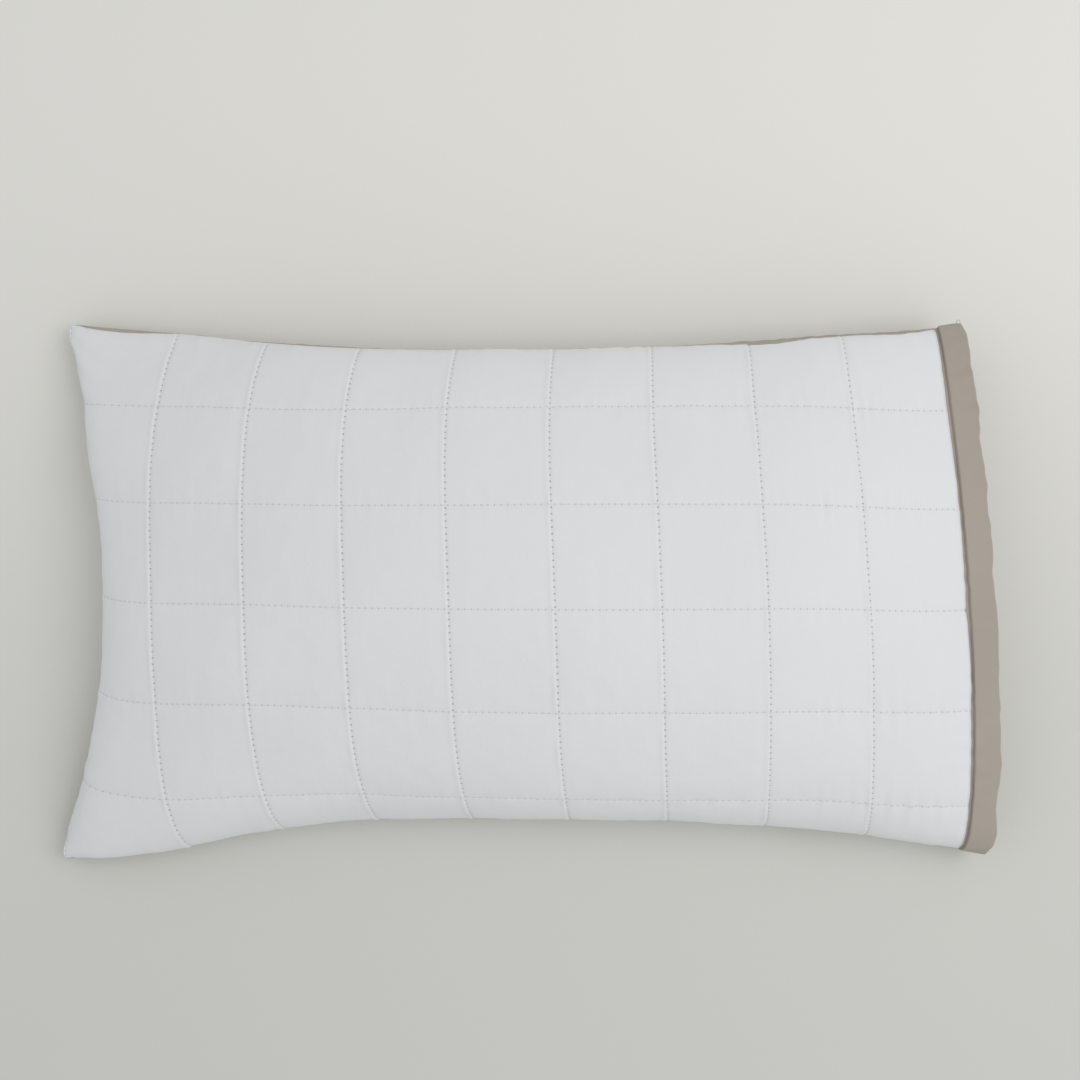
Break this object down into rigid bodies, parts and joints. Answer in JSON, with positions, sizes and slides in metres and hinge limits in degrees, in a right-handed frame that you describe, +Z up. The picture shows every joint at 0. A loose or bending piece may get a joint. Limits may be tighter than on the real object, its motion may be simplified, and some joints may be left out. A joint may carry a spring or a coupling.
{
  "type": "bed pillow",
  "caption": "Bed pillow for resting the head: a filled insert inside a quilted pillowcase that is closed at one end and open at the hemmed mouth",
  "frame": {"origin": "centre of the underside of the pillow's box, on the surface it rests on", "axes": "+X along the length from the closed end to the mouth, +Y across the width, +Z up from the back panel to the quilted front"},
  "size_m": [0.795, 0.474, 0.1404],
  "materials": {
    "white_cotton": "matte fine plain weave, quilted",
    "wadding": "matte needled polyester wadding",
    "lining_cotton": "matte plain weave",
    "quilting_thread": "spun sewing thread",
    "taupe_cotton": "matte fine diagonal twill",
    "taupe_thread": "spun sewing thread",
    "overlock_thread": "overlocked seam allowance",
    "ticking_cotton": "matte close plain weave",
    "ticking_thread": "spun sewing thread",
    "fibre_fill": "carded polyester fibre"
  },
  "bodies": {
    "case": {"front_face_fabric": "white_cotton", "front_wadding": "wadding", "front_lining": "lining_cotton", "quilting_thread_lengthwise": "quilting_thread", "quilting_thread_crosswise": "quilting_thread", "back_panel": "taupe_cotton", "hem_band_front": "taupe_cotton", "hem_band_back": "taupe_cotton", "hem_stitching_front": "taupe_thread", "hem_stitching_back": "taupe_thread", "side_seam_overlock": "overlock_thread", "closed_end_seam_overlock": "overlock_thread"},
    "insert": {"ticking_top": "ticking_cotton", "ticking_bottom": "ticking_cotton", "ticking_seam_stitching": "ticking_thread", "closing_seam_stitching": "ticking_thread", "fibre_fill": "fibre_fill"}
  },
  "joints": [
    {"name": "insert_slide", "type": "slide", "parent": "case", "child": "insert", "axis": [1, 0, 0], "range_m": [0, 0.8], "deforming": ["front_face_fabric", "front_wadding", "front_lining", "quilting_thread_lengthwise", "quilting_thread_crosswise", "back_panel", "hem_band_front", "hem_band_back", "hem_stitching_front", "hem_stitching_back", "side_seam_overlock", "closed_end_seam_overlock"]}
  ]
}
